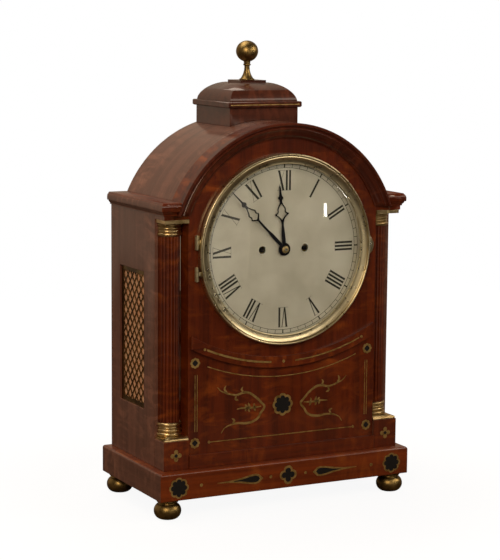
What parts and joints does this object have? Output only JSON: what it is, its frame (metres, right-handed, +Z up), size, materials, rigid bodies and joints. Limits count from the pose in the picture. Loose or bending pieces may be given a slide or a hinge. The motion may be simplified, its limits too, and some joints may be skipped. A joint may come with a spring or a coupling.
{
  "type": "mantel clock",
  "caption": "Arch-topped wooden bracket clock with a glazed round dial, hinged bezel and back door, side frets and a two-train fusee movement with pendulum and bell.",
  "frame": {"origin": "Middle of the case's footprint at floor level, under the feet.", "axes": "+X to the right as seen from the front, +Y to the back, +Z up. The dial faces -Y."},
  "size_m": [0.327, 0.1676, 0.5381],
  "materials": {
    "mahogany_front": "gloss",
    "mahogany_side": "gloss",
    "oak_board": "satin",
    "antique_brass": "satin",
    "polished_brass": "gloss",
    "sawn_brass": "satin",
    "silvered_brass": "satin",
    "polished_steel": "gloss",
    "blued_steel": "gloss",
    "clear_glass": "gloss",
    "silk": "satin",
    "gut_cord": "satin"
  },
  "bodies": {
    "case": {"base_plinth": "mahogany_front", "foot_front_left": "antique_brass", "foot_front_right": "antique_brass", "foot_rear_left": "antique_brass", "foot_rear_right": "antique_brass", "pedestal_left": "mahogany_front", "pedestal_right": "mahogany_front", "front_board": "mahogany_front", "swag_band": "mahogany_front", "bottom_rail": "mahogany_front", "side_board_left": "mahogany_side", "side_board_right": "mahogany_side", "side_fret_left": "sawn_brass", "side_fret_right": "sawn_brass", "fret_silks": "silk", "column_left": "mahogany_front", "column_right": "mahogany_front", "column_capitals": "polished_brass", "column_bases": "polished_brass", "arch_moulding": "mahogany_front", "shoulder_moulding_left": "mahogany_front", "shoulder_moulding_right": "mahogany_front", "roof_shell": "mahogany_side", "rear_frame": "mahogany_side", "cap_box": "mahogany_side", "cap_moulding": "mahogany_front", "cap_cushion": "mahogany_side", "finial": "antique_brass", "bezel_hinges": "polished_brass", "back_door_hinges": "sawn_brass", "dial_plate": "silvered_brass", "front_plate": "sawn_brass", "back_plate": "sawn_brass", "plate_pillars": "sawn_brass", "seat_board": "oak_board", "back_cock": "sawn_brass", "bell": "polished_brass", "bell_stand": "polished_steel", "gut_lines": "gut_cord"},
    "bezel_door": {"bezel": "polished_brass", "bezel_glass": "clear_glass"},
    "rear_door": {"back_door": "mahogany_side", "back_door_glass": "clear_glass"},
    "minute_arbor": {"centre_wheel": "sawn_brass", "cannon_wheel": "sawn_brass", "minute_hand": "blued_steel", "hand_collet": "polished_brass"},
    "hour_pipe": {"hour_wheel": "sawn_brass", "hour_hand": "blued_steel"},
    "minute_pinion": {"minute_wheel": "sawn_brass"},
    "going_cone": {"going_fusee": "sawn_brass"},
    "going_drum": {"going_barrel": "sawn_brass"},
    "third_arbor": {"third_wheel": "sawn_brass"},
    "escape_arbor": {"escape_wheel": "sawn_brass"},
    "pallets": {"pallet_anchor": "polished_steel"},
    "pendulum_bob": {"pendulum": "sawn_brass"},
    "strike_cone": {"strike_fusee": "sawn_brass"},
    "strike_drum": {"strike_barrel": "sawn_brass"},
    "pin_arbor": {"pin_wheel": "sawn_brass"},
    "hammer": {"strike_hammer": "polished_steel"}
  },
  "joints": [
    {"name": "bezel_hinge", "type": "hinge", "parent": "case", "child": "bezel_door", "pos_m": [-0.1136, -0.07175, 0.301], "axis": [0, 0, -1], "range_deg": [0, 110]},
    {"name": "back_door_hinge", "type": "hinge", "parent": "case", "child": "rear_door", "pos_m": [0.1115, 0.07955, 0.2], "axis": [0, 0, -1], "range_deg": [0, 100]},
    {"name": "minute_hand_turn", "type": "hinge", "parent": "case", "child": "minute_arbor", "pos_m": [0, -0.04505, 0.301], "axis": [0, 1, 0], "continuous": true},
    {"name": "hour_hand_turn", "type": "hinge", "parent": "case", "child": "hour_pipe", "pos_m": [0, -0.04505, 0.301], "axis": [0, 1, 0], "continuous": true},
    {"name": "minute_wheel_turn", "type": "hinge", "parent": "case", "child": "minute_pinion", "pos_m": [0.01, -0.04505, 0.28368], "axis": [0, 1, 0], "continuous": true},
    {"name": "going_fusee_turn", "type": "hinge", "parent": "case", "child": "going_cone", "pos_m": [0.0278, -0.04505, 0.301], "axis": [0, 1, 0], "continuous": true},
    {"name": "going_barrel_turn", "type": "hinge", "parent": "case", "child": "going_drum", "pos_m": [0.04, -0.04505, 0.243], "axis": [0, 1, 0], "continuous": true},
    {"name": "third_wheel_turn", "type": "hinge", "parent": "case", "child": "third_arbor", "pos_m": [0, -0.04505, 0.32375], "axis": [0, 1, 0], "continuous": true},
    {"name": "escape_wheel_turn", "type": "hinge", "parent": "case", "child": "escape_arbor", "pos_m": [0, -0.04505, 0.34287], "axis": [0, 1, 0], "continuous": true},
    {"name": "pendulum_swing", "type": "hinge", "parent": "case", "child": "pendulum_bob", "pos_m": [0, 0.03295, 0.36547], "axis": [0, 1, 0], "range_deg": [-3, 3]},
    {"name": "pallet_rock", "type": "hinge", "parent": "case", "child": "pallets", "pos_m": [0, -0.04505, 0.36547], "axis": [0, 1, 0], "range_deg": [-3, 3]},
    {"name": "strike_fusee_turn", "type": "hinge", "parent": "case", "child": "strike_cone", "pos_m": [-0.0278, -0.04505, 0.301], "axis": [0, 1, 0], "continuous": true},
    {"name": "strike_barrel_turn", "type": "hinge", "parent": "case", "child": "strike_drum", "pos_m": [-0.04, -0.04505, 0.243], "axis": [0, 1, 0], "continuous": true},
    {"name": "pin_wheel_turn", "type": "hinge", "parent": "case", "child": "pin_arbor", "pos_m": [-0.03649, -0.04505, 0.32488], "axis": [0, 1, 0], "continuous": true},
    {"name": "hammer_lift", "type": "hinge", "parent": "case", "child": "hammer", "pos_m": [-0.05, -0.04505, 0.345], "axis": [0, -1, 0], "range_deg": [0, 10]}
  ],
  "couplings": [
    {"joint": "hour_hand_turn", "follows": "minute_hand_turn", "ratio": 0.083333},
    {"joint": "minute_wheel_turn", "follows": "minute_hand_turn", "ratio": -0.66667},
    {"joint": "going_fusee_turn", "follows": "minute_hand_turn", "ratio": -0.083333},
    {"joint": "going_barrel_turn", "follows": "minute_hand_turn", "ratio": -0.0435},
    {"joint": "third_wheel_turn", "follows": "minute_hand_turn", "ratio": -12},
    {"joint": "escape_wheel_turn", "follows": "minute_hand_turn", "ratio": 133.71},
    {"joint": "pallet_rock", "follows": "pendulum_swing", "ratio": 1},
    {"joint": "strike_barrel_turn", "follows": "strike_fusee_turn", "ratio": 0.52},
    {"joint": "pin_wheel_turn", "follows": "strike_fusee_turn", "ratio": -10.5}
  ]
}
